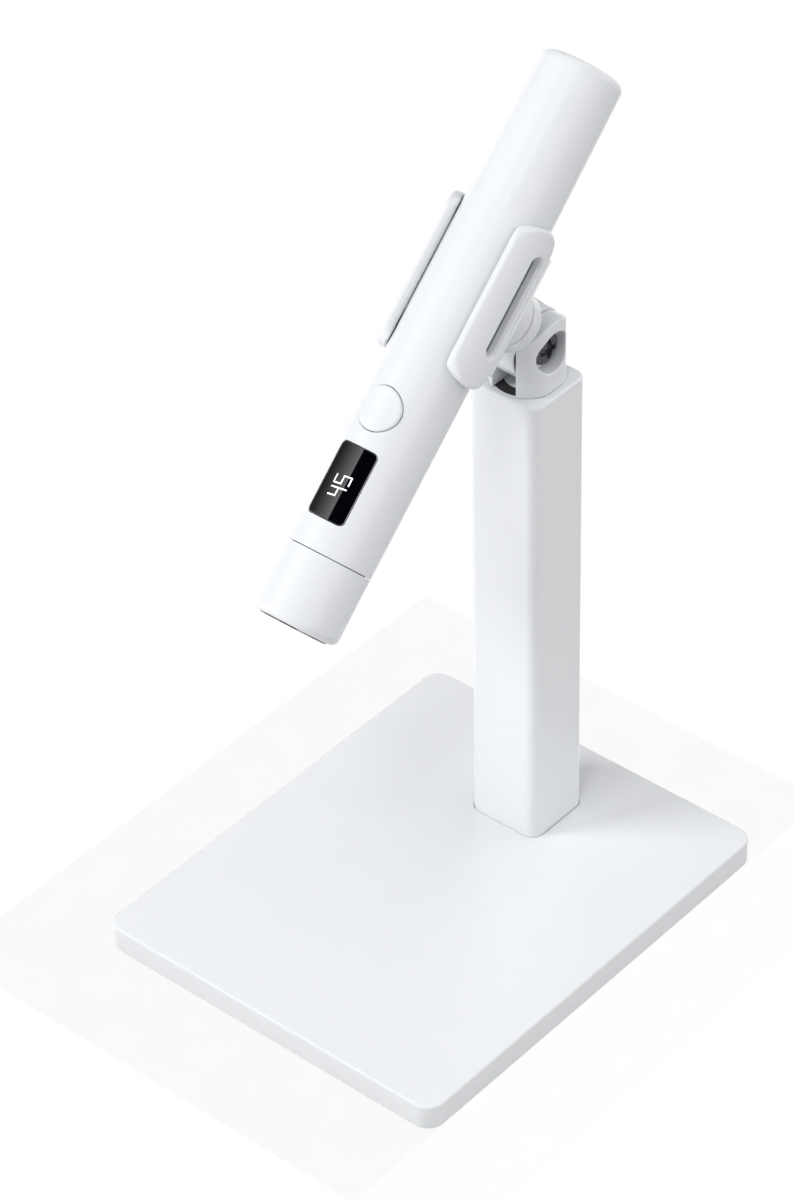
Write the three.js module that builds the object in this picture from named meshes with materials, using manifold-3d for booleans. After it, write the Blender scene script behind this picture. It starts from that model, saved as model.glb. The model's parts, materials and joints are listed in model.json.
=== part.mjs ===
// Battery curing torch held by a spring clip on a desk stand.
// Millimetres, +Z up. The origin is the centre of the underside of the stand's base.
// +X is to the right of someone who faces the stand, +Y points from the front to the back.
import * as THREE from "three";
import { mergeVertices } from "three/addons/utils/BufferGeometryUtils.js";
import Module from "manifold-3d";

const wasm = await Module();
wasm.setup();

// ---------------------------------------------------------------- driving dimensions
const GAP = 0.3; // between pieces that touch or run on each other
const HAIRLINE = 0.05; // between pieces stacked along Z

const BASE = { width: 131, depth: 159, top: 9.2, corner: 6, edge: 0.8, wall: 4, roof: 3, lift: 0.3 };
const PAD_THICKNESS = 0.8;
const COVER_THICKNESS = 2;
const BALLAST = { thickness: 3.2, inset: 1.2 };
const COVER_SCREW = { spreadX: 50, spreadY: 64, head: 2.6, shank: 1.4, headDepth: 1.1, length: 4.6 };

const POST = { width: 26.5, depth: 25, corner: 4, wall: 2, y: 46, top: 176 };
const CAP = { thickness: 1.6, plugDepth: 12 };
const POST_SCREW = { spread: 6, head: 3.5, shank: 2, headDepth: 1.6, length: 14 };
const FOOT_BLOCK_HEIGHT = 22;

const PIVOT_HEIGHT = 189.3;
const REST_TILT = THREE.MathUtils.degToRad(43); // the torch's axis above the horizontal
const FORK = {
  radius: 11.6,
  flat: 10.8, // from the middle to the ears' flat outer faces
  topDrop: 0.7, // from the pivot down to the centre of the ears' round tops
  edge: 0.6,
  slot: 4.4,
  slotFloor: 175.9, // just under the cap's top, so the slot opens onto the washer
  spigot: 6.5, // radius of the stub that turns in the cap and joins the ears
  spigotDepth: 3,
};
const PIVOT = { bore: 2.8, shank: 2.5, headRecess: 6.7, recessFloor: 6, head: 4.9, headDepth: 2 };
const PIVOT_NUT = { radius: 4.4, recess: 5, thickness: 2.6 };
const PAN_BOLT = { head: 3.8, headDepth: 1.5, shank: 2.5, nut: 5, nutThickness: 4, tail: 1.5 };
const PAN_WASHER = { radius: 11, thickness: 0.3 };
const PIVOT_WASHER = { radius: 10.8, thickness: 0.3 };

const TONGUE = { radius: 11.3, half: 3.9, neckFront: -6, neckBack: 11.2 };
const HUB = { offset: 2, radius: 9.6, low: 12, high: 17.2, edge: 0.4 };
const SWIVEL = { head: 3.5, headDepth: 1.6, shank: 1.8, depth: 18.5, washer: 8.6, washerThickness: 0.35 };

const TORCH = { radius: 13.5, tailRadius: 13.05, wall: 1.8, axisHeight: 41.3, pivotToSeam: 83.8 };
const TORCH_END = { front: -22, tail: 158.3, fillet: 3, taperStart: 112 };
const BORE = { front: 2, tailStop: 6, tailTaper: 2 }; // where the barrel's bore widens and narrows
const CLIP = {
  inner: 13.8,
  outer: 17.3,
  mouth: THREE.MathUtils.degToRad(46.5), // half the opening, from the mouth's middle
  half: 25, // half length at the waist
  lipHalf: 17,
  spineHalf: 18.5,
  waist: 2,
  shoulder: 7,
};
const CLIP_SLOT = { radius: 2.65, half: 15.6, offset: 1.2, height: 0.7 };
const BOSS = { radius: 9.6, gapToHub: 0.45 };

const WINDOW = { start: 9.3, length: 22.7, width: 13, corner: 1.6, thickness: 1.2 };
const BUTTON = { centre: 44.1, radius: 6.85, proud: 0.55, low: 10.7 };
const HEAD = {
  opening: 10.8,
  inner: 11.8,
  lip: 1.4,
  spigot: 6, // length of the barrel's neck inside the head
  spigotRadius: 11.5,
  groove: 11,
  grooveHalf: 0.8,
  bore: 9.9,
  boardFront: -9.6,
  board: 1.6,
  sinkBack: 4,
};
const BOWL = { front: 9.6, back: 6, skin: 0.8, flange: 0.7 };
const BEZEL = { outer: 10.5, inner: 9, proud: 0.4, thickness: 1.1 };
const LENS_THICKNESS = 1.4;
const LED = { size: 3.4, height: 1.8, ring: 3.1, count: 3 };
const BATTERY = { radius: 9, length: 65, start: 79 };
const CRADLE = { front: 7, back: 5, rim: -2 }; // past the battery's ends, and its open side's height
const CONTACT = { reach: 5, plate: 1, root: 4, tip: 2.5 };
const BOARD = { half: 9.2, start: 6, end: 70, height: 4.6, thickness: 1.2 };
const DISPLAY = { half: 5.4, inset: 2, top: 10.1 };
const TACT = { half: 3, height: 3.2, plunger: 1.7 };
const CHARGE_SOCKET = { width: 9, height: 3.2, wall: 0.4, depth: 7, floor: 1 };
const TAIL = { opening: 10, plugDepth: 8, edge: 0.4 };

const ROUND = 40; // facets round a large circle
const SMALL_ROUND = 20; // facets round a screw or a bore
const CORNER_STEPS = 5; // facets round an outline's corner

// ---------------------------------------------------------------- solids
function solid(geometry, matrix = new THREE.Matrix4()) {
  const bare = geometry.clone().applyMatrix4(matrix);
  bare.deleteAttribute("normal");
  bare.deleteAttribute("uv");
  const merged = mergeVertices(bare, 1e-4);
  return new wasm.Manifold(
    new wasm.Mesh({
      numProp: 3,
      vertProperties: merged.attributes.position.array,
      triVerts: new Uint32Array(merged.index.array),
    }),
  );
}

function geometryOf(shape) {
  const mesh = shape.getMesh();
  const geometry = new THREE.BufferGeometry();
  geometry.setAttribute("position", new THREE.BufferAttribute(mesh.vertProperties, 3));
  geometry.setIndex(new THREE.BufferAttribute(mesh.triVerts, 1));
  geometry.computeVertexNormals();
  return geometry;
}

const move = (x, y, z) => new THREE.Matrix4().makeTranslation(x, y, z);

// A round bar between two heights on an axis: "x", "y" or "z", through (a, b) of the other two.
function bar(axis, radius, from, to, centre = [0, 0], facets = SMALL_ROUND) {
  const cylinder = new THREE.CylinderGeometry(radius, radius, to - from, facets);
  const middle = (from + to) / 2;
  const [a, b] = centre;
  if (axis === "x") return solid(cylinder.rotateZ(-Math.PI / 2), move(middle, a, b));
  if (axis === "y") return solid(cylinder, move(a, middle, b));
  return solid(cylinder.rotateX(Math.PI / 2), move(a, b, middle));
}

function block(x0, x1, y0, y1, z0, z1) {
  const box = new THREE.BoxGeometry(x1 - x0, y1 - y0, z1 - z0);
  return solid(box, move((x0 + x1) / 2, (y0 + y1) / 2, (z0 + z1) / 2));
}

function roundedRectangle(width, depth, radius) {
  const x = width / 2;
  const y = depth / 2;
  const quarter = Math.PI / 2;
  const shape = new THREE.Shape();
  shape.moveTo(x, -y + radius);
  shape.absarc(x - radius, y - radius, radius, 0, quarter);
  shape.absarc(-x + radius, y - radius, radius, quarter, 2 * quarter);
  shape.absarc(-x + radius, -y + radius, radius, 2 * quarter, 3 * quarter);
  shape.absarc(x - radius, -y + radius, radius, 3 * quarter, 4 * quarter);
  return shape;
}

// A plate with rounded corners between two heights, with an optional chamfer on its upper edge.
function plate(width, depth, corner, low, high, y = 0, edge = 0) {
  const outline = roundedRectangle(width - 2 * edge, depth - 2 * edge, corner - edge);
  const options = {
    depth: high - low - 2 * edge,
    curveSegments: CORNER_STEPS,
    bevelEnabled: edge > 0,
    bevelThickness: edge,
    bevelSize: edge,
    bevelSegments: 2,
  };
  return solid(new THREE.ExtrudeGeometry(outline, options), move(0, y, low + edge));
}

// A flat outline, drawn in the YZ plane as (y, z) points, extruded along X to both sides.
// With an edge, the outline shrinks round that radius at both ends.
function extrudeAcross(outline, half, edge = 0) {
  const options = {
    depth: 2 * (half - edge),
    curveSegments: 2 * CORNER_STEPS,
    bevelEnabled: edge > 0,
    bevelThickness: edge,
    bevelSize: edge,
    bevelOffset: -edge,
    bevelSegments: 3,
  };
  const geometry = new THREE.ExtrudeGeometry(outline, options);
  geometry.translate(0, 0, edge - half);
  const axes = new THREE.Matrix4().makeBasis(
    new THREE.Vector3(0, 1, 0),
    new THREE.Vector3(0, 0, 1),
    new THREE.Vector3(1, 0, 0),
  );
  return solid(geometry, axes);
}

// A body of revolution about the torch's axis. Profile points are (radius, place along the axis).
function turned(points, facets = ROUND) {
  const profile = points.map(([r, s]) => new THREE.Vector2(r, s));
  return new THREE.LatheGeometry(profile, facets);
}

function arcPoints(centreR, centreS, radius, fromDegrees, toDegrees, steps) {
  const points = [];
  for (let i = 0; i <= steps; i += 1) {
    const angle = THREE.MathUtils.degToRad(fromDegrees + ((toDegrees - fromDegrees) * i) / steps);
    points.push([centreR + radius * Math.cos(angle), centreS + radius * Math.sin(angle)]);
  }
  return points;
}

function crossRecess(width, depth, top) {
  const half = width / 2;
  const arm = width / 7;
  const long = block(top - depth, top + 1, -half, half, -arm, arm);
  return long.add(block(top - depth, top + 1, -arm, arm, -half, half));
}

// ---------------------------------------------------------------- materials and nodes
const finish = (color, roughness, metalness = 0) => ({ color, roughness, metalness });
const FINISHES = {
  white: finish(0xf2f3f5, 0.25),
  black: finish(0x0a0b0d, 0.12),
  darkRubber: finish(0x2a2c2f, 0.85),
  steel: finish(0x8d9196, 0.35, 1),
  darkSteel: finish(0x3c3f45, 0.4, 1),
  chrome: finish(0xd8dadd, 0.08, 1),
  aluminium: finish(0xb9bcc0, 0.4, 1),
  nylon: finish(0xd9dadb, 0.6),
  board: finish(0x1f5a36, 0.5),
  lens: finish(0x6d7583, 0.05),
  led: finish(0xe8e4a0, 0.3),
  sleeve: finish(0x3b63a8, 0.35),
};

function place(parent, name, shape, finishName) {
  const geometry = shape.isBufferGeometry ? shape : geometryOf(shape);
  const mesh = new THREE.Mesh(geometry, new THREE.MeshStandardMaterial(FINISHES[finishName]));
  mesh.name = name;
  parent.add(mesh);
}

// ---------------------------------------------------------------- base
const coverLow = PAD_THICKNESS + HAIRLINE;
const coverTop = coverLow + COVER_THICKNESS;
const ballastLow = coverTop + HAIRLINE;
const ballastHigh = ballastLow + BALLAST.thickness;
const pocketWidth = BASE.width - 2 * BASE.wall;
const pocketDepth = BASE.depth - 2 * BASE.wall;
const pocketCorner = BASE.corner - BASE.wall + 1;

const coverScrewPlaces = [];
for (const x of [-COVER_SCREW.spreadX, COVER_SCREW.spreadX]) {
  for (const y of [-COVER_SCREW.spreadY, COVER_SCREW.spreadY]) coverScrewPlaces.push([x, y]);
}
const postScrewPlaces = [-POST_SCREW.spread, POST_SCREW.spread].map((x) => [x, POST.y]);

function baseShell() {
  const pocketTop = BASE.top - BASE.roof;
  const outer = plate(BASE.width, BASE.depth, BASE.corner, BASE.lift, BASE.top, 0, BASE.edge);
  const pocket = plate(pocketWidth, pocketDepth, pocketCorner, 0, pocketTop);
  const postHole = plate(POST.width + GAP, POST.depth + GAP, POST.corner, 0, BASE.top + 1, POST.y);
  return outer.subtract(pocket).subtract(postHole);
}

function basePad() {
  return plate(pocketWidth - 2 * GAP, pocketDepth - 2 * GAP, pocketCorner - GAP, 0, PAD_THICKNESS);
}

function bottomCover() {
  const width = pocketWidth - 2 * GAP;
  const depth = pocketDepth - 2 * GAP;
  let cover = plate(width, depth, pocketCorner - GAP, coverLow, coverTop);
  for (const at of coverScrewPlaces) {
    const headTop = coverLow + COVER_SCREW.headDepth + GAP;
    cover = cover.subtract(bar("z", COVER_SCREW.head + GAP, 0, headTop, at));
    cover = cover.subtract(bar("z", COVER_SCREW.shank + GAP, 0, BASE.top, at));
  }
  return cover;
}

function ballastPlate() {
  const width = pocketWidth - 2 * BALLAST.inset;
  const depth = pocketDepth - 2 * BALLAST.inset;
  let steel = plate(width, depth, pocketCorner - BALLAST.inset, ballastLow, ballastHigh);
  for (const at of coverScrewPlaces) {
    steel = steel.subtract(bar("z", COVER_SCREW.shank + GAP, 0, BASE.top, at));
  }
  for (const at of postScrewPlaces) {
    steel = steel.subtract(bar("z", POST_SCREW.head + GAP, 0, ballastLow + POST_SCREW.headDepth + GAP, at));
    steel = steel.subtract(bar("z", POST_SCREW.shank + GAP, 0, BASE.top, at));
  }
  return steel;
}

function screwUp(size, low, at) {
  const head = bar("z", size.head, low, low + size.headDepth, at);
  return head.add(bar("z", size.shank, low + size.headDepth / 2, low + size.length, at));
}

// ---------------------------------------------------------------- post
const postBottom = ballastHigh + HAIRLINE;
const capLow = POST.top - CAP.thickness;
const innerWidth = POST.width - 2 * POST.wall;
const innerDepth = POST.depth - 2 * POST.wall;
const innerCorner = POST.corner - POST.wall;

function postTube() {
  const tube = plate(POST.width, POST.depth, POST.corner, postBottom, capLow - 3 * HAIRLINE, POST.y);
  return tube.subtract(plate(innerWidth, innerDepth, innerCorner, 0, POST.top, POST.y));
}

function plugIn(low, high) {
  const width = innerWidth - 2 * GAP;
  return plate(width, innerDepth - 2 * GAP, innerCorner - GAP, low, high, POST.y);
}

function postFootBlock() {
  let foot = plugIn(postBottom, postBottom + FOOT_BLOCK_HEIGHT);
  for (const at of postScrewPlaces) {
    foot = foot.subtract(bar("z", POST_SCREW.shank + GAP, 0, ballastLow + POST_SCREW.length + 1, at));
  }
  return foot;
}

function postCap() {
  const lid = plate(POST.width, POST.depth, POST.corner, capLow, POST.top, POST.y, BASE.edge);
  const cap = lid.add(plugIn(capLow - CAP.plugDepth, capLow + 1));
  const socketFloor = POST.top - FORK.spigotDepth - GAP;
  return cap
    .subtract(bar("z", FORK.spigot + GAP, socketFloor, POST.top + 1, [0, POST.y], ROUND))
    .subtract(bar("z", PAN_BOLT.shank + GAP, 0, POST.top + 1, [0, POST.y]));
}

// ---------------------------------------------------------------- pan joint and fork
const forkLow = POST.top + 2 * HAIRLINE + PAN_WASHER.thickness;
const panHeadTop = FORK.slotFloor - 0.2;
const panHeadLow = panHeadTop - PAN_BOLT.headDepth;
const panNutTop = capLow - CAP.plugDepth - HAIRLINE;
const forkHigh = PIVOT_HEIGHT + FORK.radius + 1;

function panWasher() {
  const low = POST.top + HAIRLINE;
  const ring = bar("z", PAN_WASHER.radius, low, low + PAN_WASHER.thickness, [0, POST.y], ROUND);
  return ring.subtract(bar("z", FORK.spigot + GAP, 0, forkHigh, [0, POST.y], ROUND));
}

function panBolt() {
  const low = panNutTop - PAN_BOLT.nutThickness - PAN_BOLT.tail;
  const head = bar("z", PAN_BOLT.head, panHeadLow, panHeadTop, [0, POST.y]);
  return head.add(bar("z", PAN_BOLT.shank, low, panHeadTop - 0.1, [0, POST.y]));
}

function panNut() {
  const nut = bar("z", PAN_BOLT.nut, panNutTop - PAN_BOLT.nutThickness, panNutTop, [0, POST.y], 6);
  return nut.subtract(bar("z", PAN_BOLT.shank + GAP / 2, 0, forkHigh, [0, POST.y]));
}

// Side outline of the fork's ears: upright sides with a top rounded about the pivot.
function earOutline() {
  const outline = new THREE.Shape();
  const below = forkLow - 2 * FORK.edge;
  outline.moveTo(POST.y - FORK.radius, below);
  outline.lineTo(POST.y + FORK.radius, below);
  outline.absarc(POST.y, PIVOT_HEIGHT - FORK.topDrop, FORK.radius, 0, Math.PI);
  return outline;
}

function swivelFork() {
  const at = [0, POST.y];
  const pivot = [POST.y, PIVOT_HEIGHT];
  const reach = FORK.radius + 2;
  const column = bar("z", FORK.radius, forkLow, forkHigh, at, ROUND);
  const slotFront = POST.y - reach;
  const slotBack = POST.y + reach;
  return column
    .intersect(extrudeAcross(earOutline(), FORK.flat, FORK.edge))
    .add(bar("z", FORK.spigot, POST.top - FORK.spigotDepth, forkLow + FORK.edge, at, ROUND))
    .subtract(block(-FORK.slot, FORK.slot, slotFront, slotBack, FORK.slotFloor, forkHigh + 1))
    .subtract(bar("x", PIVOT.bore, -reach, reach, pivot))
    .subtract(bar("x", PIVOT.headRecess, PIVOT.recessFloor, reach, pivot, ROUND))
    .subtract(bar("x", PIVOT_NUT.recess, -reach, -PIVOT.recessFloor, pivot, ROUND))
    .subtract(bar("z", PAN_BOLT.head + GAP, panHeadLow - HAIRLINE, forkHigh, at))
    .subtract(bar("z", PAN_BOLT.shank + GAP, 0, forkHigh, at));
}

const pivotHeadLow = PIVOT.recessFloor + HAIRLINE;
const pivotNutOuter = -PIVOT.recessFloor - HAIRLINE - PIVOT_NUT.thickness;

function pivotScrew() {
  const top = pivotHeadLow + PIVOT.headDepth;
  const head = bar("x", PIVOT.head, pivotHeadLow, top, [0, 0]);
  const shank = bar("x", PIVOT.shank, pivotNutOuter, top - 0.2, [0, 0]);
  return head.add(shank).subtract(crossRecess(1.3 * PIVOT.head, 1, top));
}

function pivotNut() {
  const nut = bar("x", PIVOT_NUT.radius, pivotNutOuter, -PIVOT.recessFloor - HAIRLINE, [0, 0], 6);
  return nut.subtract(bar("x", PIVOT.shank + GAP / 2, -2 * FORK.radius, 0, [0, 0]));
}

function pivotWasher(side) {
  const inner = TONGUE.half + (FORK.slot - TONGUE.half - PIVOT_WASHER.thickness) / 2;
  const ends = [side * inner, side * (inner + PIVOT_WASHER.thickness)].sort((a, b) => a - b);
  const washer = bar("x", PIVOT_WASHER.radius, ends[0], ends[1], [0, 0], ROUND);
  return washer.subtract(bar("x", PIVOT.bore, -FORK.radius, FORK.radius, [0, 0]));
}

// ---------------------------------------------------------------- tilting knuckle
// Head frame: X across, Y along the torch towards its tail, Z out of the torch's button face.
const bossLow = HUB.high + BOSS.gapToHub;
const swivelHeadLow = TORCH.axisHeight - CLIP.inner - SWIVEL.headDepth - 3 * GAP;
const hubCentre = [0, HUB.offset];

function tiltKnuckle() {
  const profile = [
    [0, HUB.low],
    [HUB.radius - HUB.edge, HUB.low],
    [HUB.radius, HUB.low + HUB.edge],
    [HUB.radius, HUB.high],
    [0, HUB.high],
  ];
  const hub = solid(turned(profile).rotateX(Math.PI / 2), move(0, HUB.offset, 0));
  return bar("x", TONGUE.radius, -TONGUE.half, TONGUE.half, [0, 0], ROUND)
    .add(block(-TONGUE.half, TONGUE.half, TONGUE.neckFront, TONGUE.neckBack, 0, HUB.low + 1))
    .add(hub)
    .subtract(bar("x", PIVOT.bore, -2 * TONGUE.half, 2 * TONGUE.half, [0, 0]))
    .subtract(bar("z", SWIVEL.shank + GAP, swivelHeadLow - SWIVEL.depth - 1, bossLow, hubCentre));
}

function swivelWasher() {
  const low = HUB.high + HAIRLINE;
  const washer = bar("z", SWIVEL.washer, low, low + SWIVEL.washerThickness, hubCentre, ROUND);
  return washer.subtract(bar("z", SWIVEL.shank + GAP, 0, 2 * bossLow, hubCentre));
}

function swivelScrew() {
  const head = bar("z", SWIVEL.head, swivelHeadLow, swivelHeadLow + SWIVEL.headDepth, hubCentre);
  const tip = swivelHeadLow - SWIVEL.depth;
  return head.add(bar("z", SWIVEL.shank, tip, swivelHeadLow + 0.5, hubCentre));
}

// ---------------------------------------------------------------- spring clip
// Clip frame: origin on the torch's axis at the clip's middle, Y along it, Z out of the mouth.
const bossBottom = bossLow - TORCH.axisHeight;
const clipHeadSeat = swivelHeadLow - HAIRLINE - TORCH.axisHeight;

// Seen from the side, the arms are widest at the waist and rounded to the lips and to the spine.
function clipOutline() {
  const lip = CLIP.outer * Math.cos(CLIP.mouth);
  const steps = 2 * CORNER_STEPS;
  const side = [[CLIP.lipHalf, CLIP.outer + 1]];
  for (let i = 0; i <= steps; i += 1) {
    const angle = (i * Math.PI) / 2 / steps;
    const half = CLIP.lipHalf + (CLIP.half - CLIP.lipHalf) * Math.sin(angle);
    side.push([half, CLIP.waist + (lip - CLIP.waist) * Math.cos(angle)]);
  }
  for (let i = 1; i <= steps; i += 1) {
    const angle = (i * Math.PI) / 2 / steps;
    const half = CLIP.spineHalf + (CLIP.half - CLIP.spineHalf) * Math.cos(angle);
    side.push([half, CLIP.waist - CLIP.shoulder * Math.sin(angle)]);
  }
  side.push([CLIP.spineHalf, bossBottom - 1]);
  const mirrored = side.map(([half, height]) => [-half, height]).reverse();
  return new THREE.Shape([...side, ...mirrored].map(([y, z]) => new THREE.Vector2(y, z)));
}

function stadium(halfLength, radius, centreX = 0, centreY = 0) {
  const quarter = Math.PI / 2;
  const straight = halfLength - radius;
  const shape = new THREE.Shape();
  shape.absarc(centreX + straight, centreY, radius, -quarter, quarter);
  shape.absarc(centreX - straight, centreY, radius, quarter, 3 * quarter);
  return shape;
}

function mouthWedge() {
  const reach = 2 * CLIP.outer;
  const side = reach * Math.tan(CLIP.mouth);
  const wedge = new THREE.Shape([
    new THREE.Vector2(0, 0),
    new THREE.Vector2(side, reach),
    new THREE.Vector2(-side, reach),
  ]);
  const geometry = new THREE.ExtrudeGeometry(wedge, { depth: 4 * CLIP.half, bevelEnabled: false });
  return solid(geometry.rotateX(Math.PI / 2), move(0, 2 * CLIP.half, 0));
}

function clipCollar() {
  const length = CLIP.half + 1;
  const across = 2 * CLIP.outer;
  const slot = stadium(CLIP_SLOT.half, CLIP_SLOT.radius, CLIP_SLOT.offset, CLIP_SLOT.height);
  return bar("y", CLIP.outer, -length, length, [0, 0], ROUND)
    .add(bar("z", BOSS.radius, bossBottom, -CLIP.inner - 1, [0, 0], ROUND))
    .subtract(bar("y", CLIP.inner, -length - 1, length + 1, [0, 0], ROUND))
    .subtract(mouthWedge())
    .intersect(extrudeAcross(clipOutline(), across))
    .subtract(extrudeAcross(slot, across))
    .subtract(bar("z", SWIVEL.shank + GAP, bossBottom - 1, 0, [0, 0]))
    .subtract(bar("z", SWIVEL.head + GAP, clipHeadSeat, 0, [0, 0]));
}

// ---------------------------------------------------------------- torch: light head
// Torch frame: Y along the axis from the seam behind the head towards the tail, Z to the button.
function headRing() {
  const { radius } = TORCH;
  const { front, fillet } = TORCH_END;
  return turned([
    [radius, -GAP / 2],
    [HEAD.inner, -GAP / 2],
    [HEAD.inner, front + HEAD.lip],
    [HEAD.opening, front + HEAD.lip],
    [HEAD.opening, front],
    ...arcPoints(radius - fillet, front + fillet, fillet, -90, 0, CORNER_STEPS),
    [radius, -GAP / 2],
  ]);
}

const bezelFront = TORCH_END.front - BEZEL.proud;
const lensFront = bezelFront + BEZEL.thickness + HAIRLINE;
const reflectorFront = lensFront + LENS_THICKNESS + HAIRLINE;

function lensBezel() {
  const { outer, inner, thickness } = BEZEL;
  return turned([
    [outer, bezelFront],
    [outer, bezelFront + thickness],
    [inner, bezelFront + thickness],
    [inner, bezelFront],
    [outer, bezelFront],
  ]);
}

function frontLens() {
  return bar("y", BEZEL.outer, lensFront, lensFront + LENS_THICKNESS, [0, 0], ROUND);
}

function ledBoard() {
  return bar("y", HEAD.inner - 2 * GAP, HEAD.boardFront, HEAD.boardFront + HEAD.board);
}

function reflector() {
  const flangeBack = reflectorFront + BOWL.flange;
  const bowlBack = HEAD.boardFront - LED.height + 1;
  const middleRadius = (BOWL.back + BOWL.front) / 2 + 1;
  return turned([
    [HEAD.inner - GAP, reflectorFront],
    [HEAD.inner - GAP, flangeBack],
    [BOWL.front + BOWL.skin, flangeBack],
    [BOWL.back + BOWL.skin, bowlBack],
    [BOWL.back, bowlBack],
    [middleRadius, (reflectorFront + bowlBack) / 2],
    [BOWL.front, reflectorFront],
    [HEAD.inner - GAP, reflectorFront],
  ]);
}

function ledAt(index) {
  const angle = (index * 2 * Math.PI) / LED.count;
  const x = LED.ring * Math.cos(angle);
  const z = LED.ring * Math.sin(angle);
  const half = LED.size / 2;
  const back = HEAD.boardFront - HAIRLINE;
  return block(x - half, x + half, back - LED.height, back, z - half, z + half);
}

function heatSink() {
  const front = HEAD.boardFront + HEAD.board + HAIRLINE;
  const shoulder = -HEAD.spigot - GAP;
  return turned([
    [0, front],
    [HEAD.inner - 2 * GAP, front],
    [HEAD.inner - 2 * GAP, shoulder],
    [HEAD.bore - GAP, shoulder],
    [HEAD.bore - GAP, HEAD.sinkBack],
    [0, HEAD.sinkBack],
  ]);
}

function sealRing() {
  const middle = -HEAD.spigot / 2;
  const centre = (HEAD.groove + HEAD.inner) / 2;
  const radius = (HEAD.inner - HEAD.groove) / 2 - HAIRLINE;
  return turned(arcPoints(centre, middle, radius, 0, 360, 6));
}

// ---------------------------------------------------------------- torch: barrel
function windowPrism(grow, low, high) {
  const outline = roundedRectangle(WINDOW.width + 2 * grow, WINDOW.length + 2 * grow, WINDOW.corner + grow);
  const options = { depth: high - low, curveSegments: CORNER_STEPS, bevelEnabled: false };
  const middle = WINDOW.start + WINDOW.length / 2;
  return solid(new THREE.ExtrudeGeometry(outline, options), move(0, middle, low));
}

function torchBarrel() {
  const { radius, tailRadius, wall } = TORCH;
  const { tail, fillet, taperStart } = TORCH_END;
  const inside = radius - wall;
  const grooveFront = -HEAD.spigot / 2 - HEAD.grooveHalf;
  const grooveBack = -HEAD.spigot / 2 + HEAD.grooveHalf;
  const outline = [
    [HEAD.bore, -HEAD.spigot],
    [HEAD.bore, BORE.front],
    [inside, BORE.front + inside - HEAD.bore],
    [inside, tail - BORE.tailStop],
    [TAIL.opening, tail - BORE.tailStop + BORE.tailTaper],
    [TAIL.opening, tail],
    ...arcPoints(tailRadius - fillet, tail - fillet, fillet, 90, 0, CORNER_STEPS),
    [radius, taperStart],
    [radius, 0],
    [HEAD.spigotRadius, 0],
    [HEAD.spigotRadius, grooveBack],
    [HEAD.groove, grooveBack],
    [HEAD.groove, grooveFront],
    [HEAD.spigotRadius, grooveFront],
    [HEAD.spigotRadius, -HEAD.spigot],
    [HEAD.bore, -HEAD.spigot],
  ];
  return solid(turned(outline.reverse()))
    .subtract(windowPrism(GAP / 2, inside - 4, radius + 2))
    .subtract(bar("z", BUTTON.radius + GAP, inside - 4, radius + 2, [0, BUTTON.centre], ROUND));
}

function displayWindow() {
  const outer = TORCH.radius - HAIRLINE;
  const low = WINDOW.start - 5;
  const high = WINDOW.start + WINDOW.length + 5;
  return bar("y", outer, low, high, [0, 0], 2 * ROUND)
    .subtract(bar("y", outer - WINDOW.thickness, low - 1, high + 1, [0, 0], 2 * ROUND))
    .intersect(windowPrism(0, 0, TORCH.radius + 2));
}

function buttonCap() {
  const top = TORCH.radius + BUTTON.proud;
  const stem = bar("z", BUTTON.radius, BUTTON.low, top + 1, [0, BUTTON.centre], ROUND);
  const low = BUTTON.centre - 2 * BUTTON.radius;
  const high = BUTTON.centre + 2 * BUTTON.radius;
  return stem.intersect(bar("y", top, low, high, [0, 0], 2 * ROUND));
}

// ---------------------------------------------------------------- torch: inside the barrel
const boardTop = BOARD.height + BOARD.thickness;

function mainBoard() {
  return block(-BOARD.half, BOARD.half, BOARD.start, BOARD.end, BOARD.height, boardTop);
}

function displayModule() {
  const low = WINDOW.start + DISPLAY.inset;
  const high = WINDOW.start + WINDOW.length - DISPLAY.inset;
  return block(-DISPLAY.half, DISPLAY.half, low, high, boardTop + HAIRLINE, DISPLAY.top);
}

function tactSwitch() {
  const low = boardTop + HAIRLINE;
  const front = BUTTON.centre - TACT.half;
  const back = BUTTON.centre + TACT.half;
  const body = block(-TACT.half, TACT.half, front, back, low, low + TACT.height);
  return body.add(bar("z", TACT.plunger, low + TACT.height / 2, BUTTON.low - 1, [0, BUTTON.centre]));
}

const batteryEnd = BATTERY.start + BATTERY.length;

function batteryCell() {
  return bar("y", BATTERY.radius, BATTERY.start, batteryEnd, [0, 0], ROUND);
}

function contact(base, tip) {
  const plateEnd = base + CONTACT.plate * Math.sign(tip - base);
  const points = [
    [0, base],
    [BATTERY.radius - 1, base],
    [BATTERY.radius - 1, plateEnd],
    [CONTACT.root, plateEnd],
    [CONTACT.tip, tip],
    [0, tip],
  ];
  return turned(tip > base ? points : points.reverse(), SMALL_ROUND);
}

function batteryCradle() {
  const outer = TORCH.radius - TORCH.wall - GAP;
  const low = BATTERY.start - CRADLE.front;
  const high = batteryEnd + CRADLE.back;
  return bar("y", outer, low, high, [0, 0], ROUND)
    .subtract(bar("y", BATTERY.radius + GAP, low - 1, high + 1, [0, 0], ROUND))
    .subtract(block(-outer, outer, low - 1, high + 1, CRADLE.rim, outer));
}

function socketPrism(shape, low, high) {
  const options = { depth: high - low, curveSegments: CORNER_STEPS, bevelEnabled: false };
  return solid(new THREE.ExtrudeGeometry(shape, options).rotateX(-Math.PI / 2), move(0, low, 0));
}

const socketLow = TORCH_END.tail - CHARGE_SOCKET.depth;

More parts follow.
